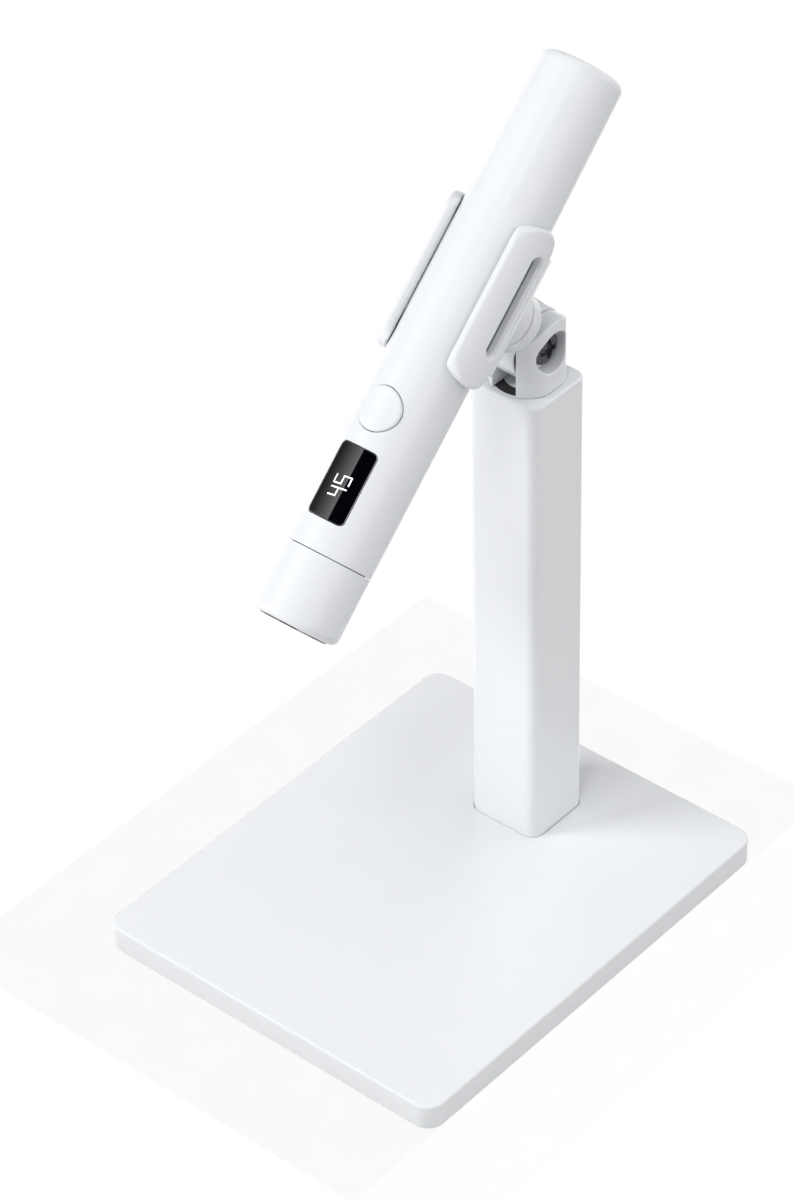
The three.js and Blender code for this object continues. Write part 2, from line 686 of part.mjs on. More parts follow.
function tailPlug() {
  const { width, height } = CHARGE_SOCKET;
  const { tail } = TORCH_END;
  const radius = TAIL.opening - GAP;
  const pocket = stadium(width / 2 + GAP, height / 2 + GAP);
  const plug = turned([
    [0, tail - TAIL.plugDepth],
    [radius, tail - TAIL.plugDepth],
    [radius, tail - TAIL.edge],
    [radius - TAIL.edge, tail],
    [0, tail],
  ]);
  return solid(plug).subtract(socketPrism(pocket, socketLow - GAP, tail + 1));
}

function chargeSocket() {
  const { width, height, wall, floor } = CHARGE_SOCKET;
  const shell = stadium(width / 2, height / 2);
  const mouth = stadium(width / 2 - wall, height / 2 - wall);
  const high = TORCH_END.tail - GAP;
  return socketPrism(shell, socketLow, high).subtract(socketPrism(mouth, socketLow + floor, high + 1));
}

// ---------------------------------------------------------------- assembly
const stand = new THREE.Group();
place(stand, "base_shell", baseShell(), "white");
place(stand, "base_pad", basePad(), "darkRubber");
place(stand, "bottom_cover", bottomCover(), "nylon");
place(stand, "ballast_plate", ballastPlate(), "steel");
coverScrewPlaces.forEach((at, i) => {
  place(stand, `cover_screw_${i + 1}`, screwUp(COVER_SCREW, coverLow + HAIRLINE, at), "darkSteel");
});
postScrewPlaces.forEach((at, i) => {
  place(stand, `post_screw_${i + 1}`, screwUp(POST_SCREW, ballastLow + HAIRLINE, at), "darkSteel");
});
place(stand, "post_tube", postTube(), "white");
place(stand, "post_foot_block", postFootBlock(), "nylon");
place(stand, "post_cap", postCap(), "white");
place(stand, "pan_washer", panWasher(), "darkRubber");
place(stand, "swivel_fork", swivelFork(), "white");
place(stand, "pan_bolt", panBolt(), "darkSteel");
place(stand, "pan_nut", panNut(), "steel");

const pivot = new THREE.Group();
pivot.position.set(0, POST.y, PIVOT_HEIGHT);
place(pivot, "pivot_screw", pivotScrew(), "darkSteel");
place(pivot, "pivot_nut", pivotNut(), "steel");
place(pivot, "pivot_washer_left", pivotWasher(-1), "darkRubber");
place(pivot, "pivot_washer_right", pivotWasher(1), "darkRubber");

const head = new THREE.Group();
head.rotation.x = REST_TILT;
place(head, "tilt_knuckle", tiltKnuckle(), "white");
place(head, "swivel_washer", swivelWasher(), "nylon");
place(head, "swivel_screw", swivelScrew(), "darkSteel");

const clip = new THREE.Group();
clip.position.set(0, HUB.offset, TORCH.axisHeight);
place(clip, "clip_collar", clipCollar(), "white");

const torch = new THREE.Group();
torch.position.set(0, -TORCH.pivotToSeam, TORCH.axisHeight);
place(torch, "head_ring", headRing(), "white");
place(torch, "lens_bezel", lensBezel(), "black");
place(torch, "front_lens", frontLens(), "lens");
place(torch, "reflector", reflector(), "chrome");
place(torch, "led_board", ledBoard(), "aluminium");
for (let i = 0; i < LED.count; i += 1) place(torch, `led_${i + 1}`, ledAt(i), "led");
place(torch, "heat_sink", heatSink(), "aluminium");
place(torch, "seal_ring", sealRing(), "darkRubber");
place(torch, "torch_barrel", torchBarrel(), "white");
place(torch, "display_window", displayWindow(), "black");
place(torch, "display_module", displayModule(), "black");
place(torch, "main_board", mainBoard(), "board");
place(torch, "tact_switch", tactSwitch(), "steel");
place(torch, "button_cap", buttonCap(), "white");
place(torch, "battery_cell", batteryCell(), "sleeve");
place(torch, "battery_cradle", batteryCradle(), "nylon");
place(torch, "front_contact", contact(BATTERY.start - CONTACT.reach, BATTERY.start - HAIRLINE), "steel");
place(torch, "rear_contact", contact(batteryEnd + CONTACT.reach, batteryEnd + HAIRLINE), "steel");
place(torch, "tail_plug", tailPlug(), "white");
place(torch, "charge_socket", chargeSocket(), "steel");

const curingTorch = new THREE.Group();
head.add(clip, torch);
pivot.add(head);
curingTorch.add(stand, pivot);

export default curingTorch;
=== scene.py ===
"""A battery curing torch in a tilting spring clip on a desk stand. Sizes are in millimetres, in the frame
of the group that they belong to, and every mesh is written in metres in the shared frame."""
import json
import math

import bpy
import numpy as np
from mathutils import Matrix, Vector

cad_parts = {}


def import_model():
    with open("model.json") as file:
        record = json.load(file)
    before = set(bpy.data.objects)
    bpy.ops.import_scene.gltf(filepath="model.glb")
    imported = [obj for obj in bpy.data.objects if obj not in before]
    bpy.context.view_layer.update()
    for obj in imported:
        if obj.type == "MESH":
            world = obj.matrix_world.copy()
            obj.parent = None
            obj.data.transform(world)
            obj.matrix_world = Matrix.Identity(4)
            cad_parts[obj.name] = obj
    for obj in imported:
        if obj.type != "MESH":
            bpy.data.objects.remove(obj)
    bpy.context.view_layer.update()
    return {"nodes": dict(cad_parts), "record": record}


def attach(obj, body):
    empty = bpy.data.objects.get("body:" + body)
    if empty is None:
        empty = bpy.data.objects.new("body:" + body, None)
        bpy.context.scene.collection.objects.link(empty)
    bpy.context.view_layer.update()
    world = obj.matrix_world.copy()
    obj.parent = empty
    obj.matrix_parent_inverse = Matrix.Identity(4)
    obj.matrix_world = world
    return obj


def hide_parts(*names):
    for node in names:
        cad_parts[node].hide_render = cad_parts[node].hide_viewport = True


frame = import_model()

# ------------------------------------------------------------------ dimensions, close to the CAD model's
BASE = {"width": 131, "depth": 159, "low": 0.3, "top": 9.2, "corner": 6, "wall": 4, "ceiling": 6.2}
POST_HOLE = {"gap": 0.16, "low": 5}
PAD = {"width": 122.4, "depth": 150.4, "corner": 2.7, "top": 0.8}
POST = {"width": 26.5, "depth": 25, "corner": 4, "y": 46, "foot": 6.5, "top": 176, "seam": 174.4}
RIM = 0.9  # the rounding of the base's and the post cap's upper edges
INSET = 2  # how far in from its outline a swept shape's flat end begins
# a very thin dark ring on the cap in the fork's slot: painted shade
PAN_WASHER_SHADE = {"inside": 6.8, "outside": 10.4, "low": 176.01, "high": 176.08}
PIVOT = {"height": 189.3, "tilt": 43, "bore": 2.8, "recess": 6.7, "recess_floor": 6, "nut_recess": 5}
PIVOT_SCREW = {"top": 8.7, "radius": 5.3, "depth": 2.65, "shank": 2.5, "tip": -17.2}
PIVOT_NUT = {"corners": 4.4, "middle": -7.35, "half": 1.3, "bore": 2.62}
FORK = {"radius": 11.6, "flat": 10.8, "drop": 0.7, "low": 176.1, "slot": 4.4}
TONGUE = {"radius": 11.3, "half": 3.9, "neck": (-6, 11.2), "neck_top": 13}
HUB = {"offset": 2, "radius": 9.6, "low": 12, "high": 17.2}
SWIVEL_SCREW = {"top": 26.6, "radius": 3.5, "depth": 1.6, "shank": 1.8, "tip": -20.1}
CROSS = {"arm": 0.2, "reach": 0.72, "centre": 0.3, "floor": 0.75}  # in radii and in depths of the head
CLIP = {"inner": 13.8, "outer": 17.3, "mouth": math.radians(46.5), "half": 25, "lip": 17, "spine": 18.5}
CLIP_WAIST = {"height": 2.0, "shoulder": 7.0}
CLIP_SLOT = {"radius": 2.45, "half": 15.6, "offset": 1.2, "height": 0.7, "flare": 0.4, "flare_depth": 1.5}
CLIP_SCREW = {"recess": 3.8, "floor": -16.35, "bore": 2.1}
BOSS = {"radius": 9.6, "low": -23.65}
TORCH = {"radius": 13.5, "tail_radius": 13.05, "axis": 41.3, "seam": -83.8, "inside": 11.7}
TORCH_END = {"front": -22, "tail": 158.3, "fillet": 3, "taper": 112}
NECK = {"radius": 11.5, "low": -6, "bore": 9.9, "end": 3}
TAIL_BORE = {"radius": 10.0, "depth": 5}
TAIL_PLUG = {"radius": 9.7, "middle": 154.3, "half": 4}
TAIL_MOUTH = {"width": 9, "height": 3.2, "gap": 0.3, "corner": 1.9, "floor": 151}
SOCKET = {"half_width": 4.5, "half_height": 1.6, "wall": 0.4, "middle": 154.65, "half": 3.35, "floor": 152.3}
SOCKET_TONGUE = {"half_width": 3.3, "half_height": 0.35, "middle": 154.4, "half": 2.6}
POCKET_FLOOR = 8  # the floor of the window's and the button's pockets, above the torch's axis
WINDOW = {"start": 9.3, "length": 22.7, "width": 13, "corner": 1.6, "gap": 0.14, "radius": 13.45,
          "thickness": 1.2, "low": 5}
BUTTON = {"centre": 44.1, "radius": 6.85, "top": 14.05, "low": 10.7, "gap": 0.17}
DIGIT = {"width": 2.4, "half_height": 2.5, "stroke": 0.215, "lean": 0.12, "centre": 0.35,
         "proud": 0.03, "depth": 0.15}
HEAD = {"inside": 11.8, "lip": 10.8, "lip_back": -20.6, "back": -0.22}
BEZEL = {"inside": 9.0, "outside": 10.5, "front": -22.4, "back": -21.3}
LENS = {"radius": 10.5, "front": -21.25, "back": -19.85}
BOWL = {"throat": 6.0, "mouth": 9.6, "back": -10.4, "front": -19.8, "wall": 0.8, "flange": 11.5,
        "flange_thickness": 0.7}
MM = 0.001  # metres

STAND = Matrix.Identity(4)
POST_FRAME = Matrix.Translation((0, POST["y"], 0))
PIVOT_FRAME = Matrix.Translation((0, POST["y"], PIVOT["height"]))
KNUCKLE = PIVOT_FRAME @ Matrix.Rotation(math.radians(PIVOT["tilt"]), 4, "X")
CLIP_FRAME = KNUCKLE @ Matrix.Translation((0, HUB["offset"], TORCH["axis"]))
TORCH_FRAME = KNUCKLE @ Matrix.Translation((0, TORCH["seam"], TORCH["axis"]))


# ------------------------------------------------------------------ swept shapes
def rounded(corners, steps=6):
    """Profile rows (outward, height, outward normal, height normal) with each corner (outward, height,
    radius) rounded. Corners run with the outside on the right. The first and last stay sharp."""
    rows = []
    last = len(corners) - 1
    for i, (a, b, radius) in enumerate(corners):
        here = np.array((a, b), float)
        before = here - corners[i - 1][:2] if i else None
        after = np.array(corners[i + 1][:2], float) - here if i < last else None
        if before is None or after is None:
            d = after if before is None else before
            d = d / np.linalg.norm(d)
            rows.append((a, b, d[1], -d[0]))
            continue
        before = before / np.linalg.norm(before)
        after = after / np.linalg.norm(after)
        turn = math.atan2(before[0] * after[1] - before[1] * after[0], before @ after)
        start = here - before * radius * math.tan(abs(turn) / 2)
        side = math.copysign(1, turn)
        outward = np.array((before[1], -before[0]))
        centre = start - side * outward * radius
        for step in range(steps + 1):
            angle = math.atan2(outward[1], outward[0]) + turn * step / steps
            n = np.array((math.cos(angle), math.sin(angle)))
            rows.append((*(centre + side * n * radius), *n))
    return rows


def circle(count):
    """An outline that is one point, with normals all round: the profile gives the radius."""
    turn = np.linspace(0, 2 * math.pi, count, endpoint=False)
    normals = np.stack((np.cos(turn), np.sin(turn)), 1)
    return np.zeros_like(normals), normals


def rectangle(width, depth, corner, y=0, steps=8):
    """A rounded rectangle's outline and its normals, counter-clockwise."""
    points, normals = [], []
    for quarter in range(4):
        sx = (1, -1, -1, 1)[quarter]
        sy = (1, 1, -1, -1)[quarter]
        for step in range(steps + 1):
            angle = math.pi / 2 * (quarter + step / steps)
            n = (math.cos(angle), math.sin(angle))
            normals.append(n)
            points.append((sx * (width / 2 - corner) + corner * n[0],
                           y + sy * (depth / 2 - corner) + corner * n[1]))
    return np.array(points), np.array(normals)


def sweep(outline, profile, axis="z", caps=(True, True)):
    """(points, faces, normals) of a profile swept round an outline about the z or the y axis, with a flat
    cap at its first and its last row."""
    base, across = outline
    rows = np.array(profile, float)
    n, m = len(base), len(rows)
    flat = base[:, None] + across[:, None] * rows[None, :, 0, None]
    points = np.concatenate((flat, np.broadcast_to(rows[:, 1, None], (n, m, 1))), 2)
    lean = across[:, None] * rows[None, :, 2, None]
    normals = np.concatenate((lean, np.broadcast_to(rows[:, 3, None], (n, m, 1))), 2)
    faces = []
    for i in range(n):
        k = (i + 1) % n
        for j in range(m - 1):
            faces.append((i * m + j, k * m + j, k * m + j + 1, i * m + j + 1))
    if caps[0]:
        faces.append([i * m for i in reversed(range(n))])
    if caps[1]:
        faces.append([i * m + m - 1 for i in range(n)])
    points, normals = points.reshape(-1, 3), normals.reshape(-1, 3)
    if axis == "y":
        points, normals = points[:, [1, 2, 0]], normals[:, [1, 2, 0]]
    return points, faces, normals


def join(*shapes):
    """Several shapes as one."""
    points, faces, normals, count = [], [], [], 0
    for p, f, n in shapes:
        points.append(p)
        normals.append(n)
        faces += [[v + count for v in face] for face in f]
        count += len(p)
    return np.concatenate(points), faces, np.concatenate(normals)


# ------------------------------------------------------------------ distance fields
def meet(a, b, radius=0.0):
    """Intersection, its edge rounded to a radius."""
    if not radius:
        return np.maximum(a, b)
    u, v = np.maximum(radius + a, 0), np.maximum(radius + b, 0)
    return np.minimum(-radius, np.maximum(a, b)) + np.hypot(u, v)


def unite(a, b, radius=0.0):
    """Union, its inner corner filled to a radius."""
    return -meet(-a, -b, radius)


def cut(a, b, radius=0.0):
    """The first without the second, its edge rounded to a radius."""
    return meet(a, -b, radius)


def gradient(distance, points):
    step = 0.01
    g = np.empty_like(points)
    for k in range(3):
        shift = np.zeros(3)
        shift[k] = step
        g[:, k] = distance(points + shift) - distance(points - shift)
    return g / (2 * step)


def net(distance, axes, place=None, wraps=False):
    """(points, faces, normals) of the surface where a distance is zero: one point for each grid cell
    that it crosses, moved onto it, and one quad for each grid edge. A wrapping grid repeats its
    second axis's last cell at its start."""
    grid = np.stack(np.meshgrid(*axes, indexing="ij"), -1).reshape(-1, 3)
    grid = grid if place is None else place(grid)
    size = tuple(len(a) for a in axes)
    value = distance(grid).reshape(size)
    grid = grid.reshape(size + (3,))
    cells = tuple(s - 1 for s in size)
    total, hits, edges = np.zeros(cells + (3,)), np.zeros(cells), []
    for k in range(3):
        low = [slice(None)] * 3
        high = [slice(None)] * 3
        low[k], high[k] = slice(0, -1), slice(1, None)
        v0, v1 = value[tuple(low)], value[tuple(high)]
        crossing = (v0 < 0) != (v1 < 0)
        share = np.where(crossing, v0 / np.where(crossing, v0 - v1, 1), 0)[..., None]
        p0, p1 = grid[tuple(low)], grid[tuple(high)]
        where = (p0 + (p1 - p0) * share) * crossing[..., None]
        b, c = (k + 1) % 3, (k + 2) % 3
        for db in (0, 1):
            for dc in (0, 1):
                part = [slice(None)] * 3
                part[b], part[c] = slice(db, cells[b] + db), slice(dc, cells[c] + dc)
                total += where[tuple(part)]
                hits += crossing[tuple(part)]
        edges.append((crossing, v0 < 0))
    used = hits > 0
    number = np.full(cells, -1)
    number[used] = np.arange(used.sum())
    if wraps:
        number[:, 0] = number[:, -1]
    points = total[used] / hits[used][:, None]
    faces = []
    for k, (crossing, rising) in enumerate(edges):
        b, c = (k + 1) % 3, (k + 2) % 3
        at = np.argwhere(crossing)
        at = at[(at[:, b] > 0) & (at[:, b] < size[b] - 1) & (at[:, c] > 0) & (at[:, c] < size[c] - 1)]
        quad = []
        for db, dc in ((1, 1), (0, 1), (0, 0), (1, 0)):
            cell = at.copy()
            cell[:, b] -= db
            cell[:, c] -= dc
            quad.append(number[cell[:, 0], cell[:, 1], cell[:, 2]])
        quad = np.stack(quad, 1)
        up = rising[at[:, 0], at[:, 1], at[:, 2]]
        faces.append(np.where(up[:, None], quad, quad[:, ::-1]))
    faces = np.concatenate(faces)
    longest_move, settling_rounds = 0.4, 5
    for _ in range(settling_rounds):
        g = gradient(distance, points)
        steepness = np.maximum((g * g).sum(1), 0.05)
        move = np.clip(distance(points), -longest_move, longest_move) / steepness
        points = points - g * move[:, None]
    g = gradient(distance, points)
    normals = g / np.maximum(np.linalg.norm(g, axis=1), 1e-9)[:, None]
    kept = np.unique(faces)
    renumber = np.full(len(points), -1)
    renumber[kept] = np.arange(len(kept))
    return points[kept], renumber[faces].tolist(), normals[kept]


def span(low, high, step):
    """Samples from low to high, about a step apart."""
    return np.linspace(low, high, max(2, round((high - low) / step) + 1))


def box_axes(low, high, step):
    """A grid's axes, with its lines off the flat faces by a margin."""
    margin = 1.37 * step
    return [span(a - margin, b + margin, step) for a, b in zip(low, high)]


def prism_distance(u, v, half_u, half_v, corner):
    """Distance to a rounded rectangle in a plane."""
    qu, qv = np.abs(u) - half_u + corner, np.abs(v) - half_v + corner
    outside = np.hypot(np.maximum(qu, 0), np.maximum(qv, 0))
    return outside + np.minimum(np.maximum(qu, qv), 0) - corner


# ------------------------------------------------------------------ pieces and materials
def piece(name, shape, place, body, material, replaces=()):
    """A mesh that moves with a body, takes its slot's finish and stands in for CAD nodes."""
    points, faces, normals = shape
    matrix = np.array(place)
    points = (points @ matrix[:3, :3].T + matrix[:3, 3]) * MM
    normals = normals @ matrix[:3, :3].T
    mesh = bpy.data.meshes.new(name)
    mesh.from_pydata(points.tolist(), [], faces)
    mesh.polygons.foreach_set("use_smooth", np.ones(len(mesh.polygons), bool))
    mesh.update()
    mesh.normals_split_custom_set_from_vertices(normals.tolist())
    mesh.materials.append(material)
    obj = bpy.data.objects.new(name, mesh)
    bpy.context.scene.collection.objects.link(obj)
    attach(obj, body)
    if replaces:
        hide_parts(*replaces)


def surface(name, colors, roughness, grain=1.0, bump=0.0, bump_scale=900.0, **sockets):
    """A Principled material whose colour and roughness wander between two values over the surface,
    with a fine bump. Grain is the size of the wandering patches, and sockets are the shader's own."""
    material = bpy.data.materials.new(name)
    material.use_nodes = True
    nodes, links = material.node_tree.nodes, material.node_tree.links
    shader = nodes["Principled BSDF"]
    for key, value in sockets.items():
        shader.inputs[key.replace("_", " ")].default_value = value
    where = nodes.new("ShaderNodeTexCoord")
    broad = nodes.new("ShaderNodeTexNoise")
    broad.inputs["Scale"].default_value = 60 / grain
    broad.inputs["Detail"].default_value = 3
    links.new(where.outputs["Object"], broad.inputs["Vector"])
    ramp = nodes.new("ShaderNodeValToRGB")
    for stop, position, color in zip(ramp.color_ramp.elements, (0.3, 0.7), colors):
        stop.position = position
        stop.color = (*color, 1)
    links.new(broad.outputs["Fac"], ramp.inputs["Fac"])
    links.new(ramp.outputs["Color"], shader.inputs["Base Color"])
    fine = nodes.new("ShaderNodeTexNoise")
    fine.inputs["Scale"].default_value = 420 / grain
    fine.inputs["Detail"].default_value = 5
    links.new(where.outputs["Object"], fine.inputs["Vector"])
    spread = nodes.new("ShaderNodeMapRange")
    spread.inputs["From Min"].default_value = 0.3
    spread.inputs["From Max"].default_value = 0.7
    spread.inputs["To Min"].default_value = roughness[0]
    spread.inputs["To Max"].default_value = roughness[1]
    links.new(fine.outputs["Fac"], spread.inputs["Value"])
    links.new(spread.outputs["Result"], shader.inputs["Roughness"])
    if bump:
        relief = nodes.new("ShaderNodeTexNoise")
        relief.inputs["Scale"].default_value = bump_scale
        relief.inputs["Detail"].default_value = 2
        links.new(where.outputs["Object"], relief.inputs["Vector"])
        lift = nodes.new("ShaderNodeBump")
        lift.inputs["Strength"].default_value = bump
        lift.inputs["Distance"].default_value = 0.0001
        links.new(relief.outputs["Fac"], lift.inputs["Height"])
        links.new(lift.outputs["Normal"], shader.inputs["Normal"])
    return material


def moulded(name, colors):
    """Glossy moulded plastic."""
    return surface(name, colors, (0.16, 0.26), bump=0.02, IOR=1.42, Coat_Weight=0.1, Coat_Roughness=0.06)


MATERIALS = {
    "white_plastic": moulded("moulded_white", ((0.7, 0.714, 0.734), (0.71, 0.724, 0.744))),
    "black_gloss": surface("black_window", ((0.001, 0.0014, 0.003), (0.0016, 0.002, 0.004)), (0.02, 0.05),
                           IOR=2.3, Specular_IOR_Level=0.85),
    "dark_rubber": surface("black_rubber", ((0.02, 0.021, 0.023), (0.035, 0.036, 0.038)), (0.65, 0.85),
                           bump=0.6, bump_scale=2600),
    "pale_nylon": surface("natural_nylon", ((0.56, 0.56, 0.54), (0.63, 0.63, 0.61)), (0.4, 0.55), bump=0.2),
    "plain_steel": surface("zinc_steel", ((0.42, 0.43, 0.45), (0.55, 0.56, 0.58)), (0.24, 0.42), 0.4,
                           bump=0.1, Metallic=1.0),
    "dark_steel": surface("dark_screw_steel", ((0.07, 0.072, 0.082), (0.17, 0.174, 0.19)), (0.2, 0.36), 0.3,
                          bump=0.15, Metallic=0.6),
    "mirror_bowl": surface("mirror_bowl", ((0.83, 0.83, 0.85), (0.88, 0.88, 0.9)), (0.03, 0.08),
                           Metallic=1.0),
    "bare_aluminium": surface("turned_aluminium", ((0.6, 0.61, 0.63), (0.7, 0.71, 0.73)), (0.28, 0.42), 0.5,
                              bump=0.1, Metallic=1.0),
    "circuit_board": surface("green_board", ((0.012, 0.07, 0.03), (0.02, 0.1, 0.045)), (0.3, 0.45), 0.4,
                             bump=0.2),
    "clear_lens": surface("clear_lens", ((0.92, 0.94, 0.98), (0.95, 0.96, 1.0)), (0.0, 0.02),
                          Transmission_Weight=1.0, IOR=1.49),
    "led_package": surface("led_phosphor", ((0.62, 0.58, 0.2), (0.72, 0.66, 0.28)), (0.12, 0.25), 0.3),
    "cell_sleeve": surface("cell_sleeve", ((0.02, 0.06, 0.22), (0.03, 0.08, 0.28)), (0.25, 0.4), 0.6,
                           bump=0.1),
}
# the stand's plastic is a lighter copy of the torch's white: painted light that brightens the stand under
# the same lamps
STAND_WHITE_PAINTED_LIGHTER = moulded("moulded_white_stand_painted_lighter", ((0.74, 0.754, 0.772), (0.75, 0.764, 0.782)))


def build(name, shape, place, body, slot):
    """A piece named after the CAD node that it replaces, with _look added."""
    # the stand's white pieces take the lighter copy of the plastic, painted light
    lighter_copy = body == "stand" and slot == "white_plastic"
    material = STAND_WHITE_PAINTED_LIGHTER if lighter_copy else MATERIALS[slot]
    piece(name, shape, place, body, material, (name.replace("_look", ""),))


for entry in frame["record"]["subparts"]:
    carried = frame["nodes"][entry["node"]]
    carried.data.materials.clear()
    carried.data.materials.append(MATERIALS[entry["material_slot"]])


# ------------------------------------------------------------------ stand
def base_plate():
    """The outer skirt with its pocket, the wall of the post's hole and the flat top between them."""
    wall, ceiling, low, top = BASE["wall"], BASE["ceiling"], BASE["low"], BASE["top"]
    outer = rectangle(BASE["width"], BASE["depth"], BASE["corner"])
    skirt = rounded([
        (-wall - 1, ceiling, 0),
        (-wall, ceiling, 0.3),
        (-wall, low, 0.2),
        (0, low, 0.35),
        (0, top, RIM),
        (-1.2, top, 0),
    ])
    hole = rectangle(POST["width"], POST["depth"], POST["corner"], POST["y"])
    gap = POST_HOLE["gap"]
    rim = rounded([(RIM, top, 0), (gap, top, 0.3), (gap, POST_HOLE["low"], 0)])
    skirt_shape = sweep(outer, skirt, caps=(True, False))
    rim_shape = sweep(hole, rim, caps=(False, False))
    points, faces, normals = join(skirt_shape, rim_shape)
    count, m, r = len(outer[0]), len(skirt), len(rim)
    start = len(skirt_shape[0])
    for i in range(count):
        k = (i + 1) % count
        faces.append([i * m + m - 1, k * m + m - 1, start + k * r, start + i * r])
    return points, faces, normals


def foot_pad():
    """The rubber pad, slightly proud of the base's underside."""
    outline = rectangle(PAD["width"], PAD["depth"], PAD["corner"])
    profile = rounded([(-INSET, 0, 0), (0, 0, 0.25), (0, PAD["top"], 0.1), (-INSET, PAD["top"], 0)])
    return sweep(outline, profile)


def post_tube():
    outline = rectangle(POST["width"], POST["depth"], POST["corner"], POST["y"], 12)
    low, high = POST["foot"], POST["seam"] - 0.04
    profile = rounded([(-INSET, low, 0), (0, low, 0.2), (0, high, 0.03), (-INSET, high, 0)])
    return sweep(outline, profile)


def post_cap():
    """The lid, with a rounded upper edge."""
    outline = rectangle(POST["width"], POST["depth"], POST["corner"], POST["y"], 12)
    seam, top = POST["seam"], POST["top"]
    profile = rounded([(-INSET, seam, 0), (0, seam, 0.03), (0, top, RIM), (-INSET, top, 0)], 8)
    return sweep(outline, profile)


def pan_washer():
    """A thin dark ring on the cap in the fork's open slot: painted shade, standing in for the shadow under
    the tongue.
    """
    inside, outside = PAN_WASHER_SHADE["inside"], PAN_WASHER_SHADE["outside"]
    low, high = PAN_WASHER_SHADE["low"], PAN_WASHER_SHADE["high"]
    middle, edge = (low + high) / 2, 0.01
    profile = rounded([
        (inside, middle, 0),
        (inside, low, edge),
        (outside, low, edge),
        (outside, high, edge),
        (inside, high, edge),
        (inside, middle + 0.002, 0),
    ], 2)
    return sweep(circle(96), profile, caps=(False, False))


build("base_shell_look", base_plate(), STAND, "stand", "white_plastic")
build("base_pad_look", foot_pad(), STAND, "stand", "dark_rubber")
build("post_tube_look", post_tube(), STAND, "stand", "white_plastic")
build("post_cap_look", post_cap(), STAND, "stand", "white_plastic")
# the washer is dark rubber: painted shade in the fork's slot
build("pan_washer_look", pan_washer(), POST_FRAME, "stand", "dark_rubber")


# ------------------------------------------------------------------ hinge
def fork_distance(p):
    """Two ears on a round foot, with the slot between them open down to the cap."""
    x, y, z = p[:, 0], p[:, 1], p[:, 2]
    low = FORK["low"] - PIVOT["height"]
    column = np.hypot(x, y) - FORK["radius"]
    above = z + FORK["drop"]
    ears = np.where(above > 0, np.hypot(y, above), np.abs(y)) - FORK["radius"]
    body = meet(ears, np.abs(x) - FORK["flat"], 0.5)
    body = meet(body, column, 0.6)
    body = meet(body, low - z, 0.12)
    body = cut(body, np.abs(x) - FORK["slot"], 0.3)
    around = np.hypot(y, z)
    body = cut(body, around - PIVOT["bore"], 0.2)
    right = meet(around - PIVOT["recess"], PIVOT["recess_floor"] - x)
    left = meet(around - PIVOT["nut_recess"], PIVOT["recess_floor"] + x)
    return cut(cut(body, right, 0.65), left, 0.45)


def knuckle_distance(p):
    """The round tongue between the ears, its neck and the hub that the clip turns on."""
    x, y, z = p[:, 0], p[:, 1], p[:, 2]
    front, back = TONGUE["neck"]
    tongue = meet(np.hypot(y, z) - TONGUE["radius"], np.abs(x) - TONGUE["half"], 0.35)
    neck = meet(np.abs(y - (front + back) / 2) - (back - front) / 2, np.abs(x) - TONGUE["half"], 0.35)
    neck = meet(neck, np.abs(z - TONGUE["neck_top"] / 2) - TONGUE["neck_top"] / 2)
    middle, half = (HUB["low"] + HUB["high"]) / 2, (HUB["high"] - HUB["low"]) / 2
    hub = meet(np.hypot(x, y - HUB["offset"]) - HUB["radius"], np.abs(z - middle) - half, 0.45)
    body = unite(unite(tongue, neck, 1.2), hub, 0.45)
    return cut(body, np.hypot(y, z) - PIVOT["bore"], 0.2)


def screw_head(p, size):
    """A pan head along +Z with its top at height zero, a cross recess and a plain shank."""
    x, y, z = p[:, 0], p[:, 1], p[:, 2]
    radius, depth = size["radius"], size["depth"]
    around = np.hypot(x, y)
    dome_radius = 2.2 * radius
    dome = np.hypot(around, z + dome_radius) - dome_radius
    head = meet(meet(around - radius, dome, 0.35), -depth - z, 0.15)
    stem = meet(around - size["shank"], size["tip"] - z, 0.2)
    head = unite(head, meet(stem, z + depth * 0.7))
    below = z + 0.6
    arm = CROSS["arm"] * radius - 0.12 * below
    reach = CROSS["reach"] * radius + 0.5 * z
    cross = np.minimum(meet(np.abs(x) - arm, np.abs(y) - reach, 0.1),
                       meet(np.abs(y) - arm, np.abs(x) - reach, 0.1))
    cross = unite(cross, around - CROSS["centre"] * radius - 0.3 * below, 0.15)
    cross = meet(cross, -CROSS["floor"] * depth - z)
    return cut(head, cross, 0.1)


def pivot_screw_distance(p):
    return screw_head(np.stack((p[:, 1], p[:, 2], p[:, 0] - PIVOT_SCREW["top"]), 1), PIVOT_SCREW)


def swivel_screw_distance(p):
    return screw_head(p - (0, HUB["offset"], SWIVEL_SCREW["top"]), SWIVEL_SCREW)


def pivot_nut_distance(p):
    """A hexagon nut with chamfered corners, its inner face at the recess floor."""
    x, y, z = p[:, 0], p[:, 1], p[:, 2]
    flats = PIVOT_NUT["corners"] * math.cos(math.pi / 6)
    hexagon = np.maximum.reduce([
        np.abs(y * math.cos(a) + z * math.sin(a)) - flats
        for a in (math.pi / 6, math.pi / 2, 5 * math.pi / 6)
    ])
    around = np.hypot(y, z)
    slab = np.abs(x - PIVOT_NUT["middle"]) - PIVOT_NUT["half"]
    chamfer = (around + slab * 1.6 - flats) / 1.9
    nut = meet(meet(hexagon, slab, 0.1), chamfer - 0.2, 0.1)
    return cut(nut, around - PIVOT_NUT["bore"], 0.25)


